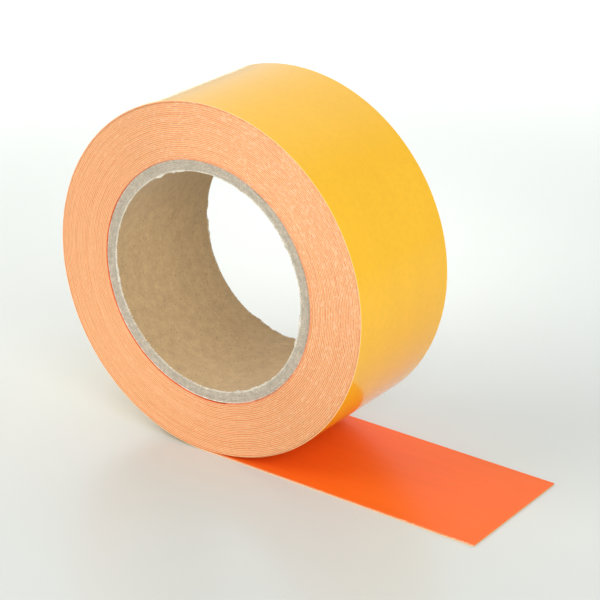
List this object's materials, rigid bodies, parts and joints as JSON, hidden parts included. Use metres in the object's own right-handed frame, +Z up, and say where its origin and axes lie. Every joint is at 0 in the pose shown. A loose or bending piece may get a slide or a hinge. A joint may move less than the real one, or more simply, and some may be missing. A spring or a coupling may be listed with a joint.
{
  "type": "tape roll",
  "caption": "Roll of glossy film tape with a release liner, wound on a paper core and standing on its rim with its free end pulled out flat.",
  "frame": {"origin": "middle of the core's bore, on its axis", "axes": "+Y along the bore, +Z up, +X the way the free end is pulled out"},
  "size_m": [0.1687, 0.0508, 0.1234],
  "materials": {
    "kraft_ply": "matt brown kraft paper",
    "core_board": "matt grey board, cut edge",
    "starter_tape": "matt tissue tape",
    "film": "glossy orange film",
    "adhesive": "pale tacky adhesive",
    "release_liner": "glossy yellow release liner"
  },
  "bodies": {
    "laid_strip": {"film_strip": "film", "adhesive_strip": "adhesive", "liner_strip": "release_liner", "liner_end": "release_liner"},
    "outer_turn": {"film_outer_turn": "film", "adhesive_outer_turn": "adhesive", "liner_outer_turn": "release_liner"},
    "roll": {"core_inner_ply": "kraft_ply", "core_board_ply_1": "core_board", "core_board_ply_2": "core_board", "core_board_ply_3": "core_board", "core_board_ply_4": "core_board", "core_board_ply_5": "core_board", "core_outer_ply": "kraft_ply", "starter_tape": "starter_tape", "film_winding": "film", "adhesive_winding": "adhesive", "liner_winding": "release_liner"},
    "peeled_end": {"film_end": "film", "adhesive_end": "adhesive"}
  },
  "joints": [
    {"name": "roll_travel", "type": "slide", "parent": "laid_strip", "child": "outer_turn", "axis": [-1, 0, 0], "range_m": [0, 0.36], "deforming": ["film_strip", "adhesive_strip", "liner_strip"]},
    {"name": "roll_turn", "type": "hinge", "parent": "outer_turn", "child": "roll", "pos_m": [0, 0, 0], "axis": [0, -1, 0], "range_deg": [0, 337]},
    {"name": "end_peel", "type": "hinge", "parent": "laid_strip", "child": "peeled_end", "pos_m": [0.08, 0, -0.06109], "axis": [0, -1, 0], "range_deg": [0, 80]}
  ],
  "couplings": [
    {"joint": "roll_turn", "follows": "roll_travel", "rad_per_m": 16.289}
  ]
}
